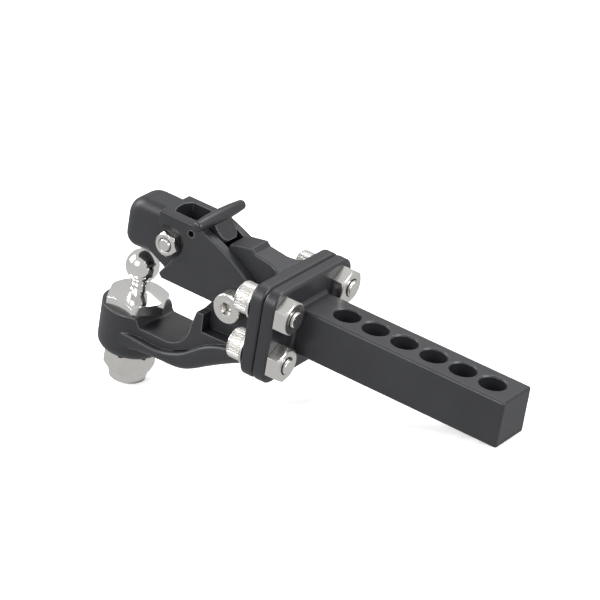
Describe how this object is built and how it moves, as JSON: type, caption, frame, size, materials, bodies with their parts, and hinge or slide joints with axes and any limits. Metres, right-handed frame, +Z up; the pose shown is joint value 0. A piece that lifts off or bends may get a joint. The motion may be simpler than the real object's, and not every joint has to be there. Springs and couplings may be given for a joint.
{
  "type": "combination pintle and ball hitch",
  "caption": "Scale-model pintle hitch: a hinged jaw with a T latch closes over a tow ball, bolted through a flange to a square drawbar with a row of pin holes.",
  "frame": {"origin": "on the drawbar's axis, at the front face of the drawbar's flange, where the bar starts", "axes": "+X along the drawbar towards its free end, +Z up along the tow ball's axis, +Y to the side of the pivot nut"},
  "size_m": [0.0571, 0.0161, 0.027],
  "materials": {
    "black_coat": "satin black powder coat on cast and milled metal",
    "bright_nickel": "bright nickel plate",
    "ball_chrome": "polished chrome plate",
    "pin_steel": "dark oiled steel",
    "nylon": "natural nylon"
  },
  "bodies": {
    "hitch": {"drawbar": "black_coat", "hook_body": "black_coat", "pivot_screw": "bright_nickel", "pivot_nut": "bright_nickel", "tow_ball": "ball_chrome", "ball_nut": "bright_nickel", "ball_nut_insert": "nylon", "flange_washer_1": "bright_nickel", "flange_washer_2": "bright_nickel", "flange_washer_3": "bright_nickel", "flange_washer_4": "bright_nickel", "flange_screw_1": "bright_nickel", "flange_screw_2": "bright_nickel", "flange_screw_3": "bright_nickel", "flange_screw_4": "bright_nickel", "flange_nut_1": "bright_nickel", "flange_nut_2": "bright_nickel", "flange_nut_3": "bright_nickel", "flange_nut_4": "bright_nickel"},
    "jaw": {"jaw": "black_coat", "jaw_screw": "bright_nickel", "jaw_nut": "bright_nickel", "latch_pin": "pin_steel"},
    "latch": {"latch_lever": "black_coat"}
  },
  "joints": [
    {"name": "jaw_hinge", "type": "hinge", "parent": "hitch", "child": "jaw", "pos_m": [-0.0084, 0, -0.0002], "axis": [0, 1, 0], "range_deg": [0, 50]},
    {"name": "latch_hinge", "type": "hinge", "parent": "jaw", "child": "latch", "pos_m": [-0.01605, 0, 0.0059], "axis": [0, -1, 0], "range_deg": [0, 28]}
  ]
}
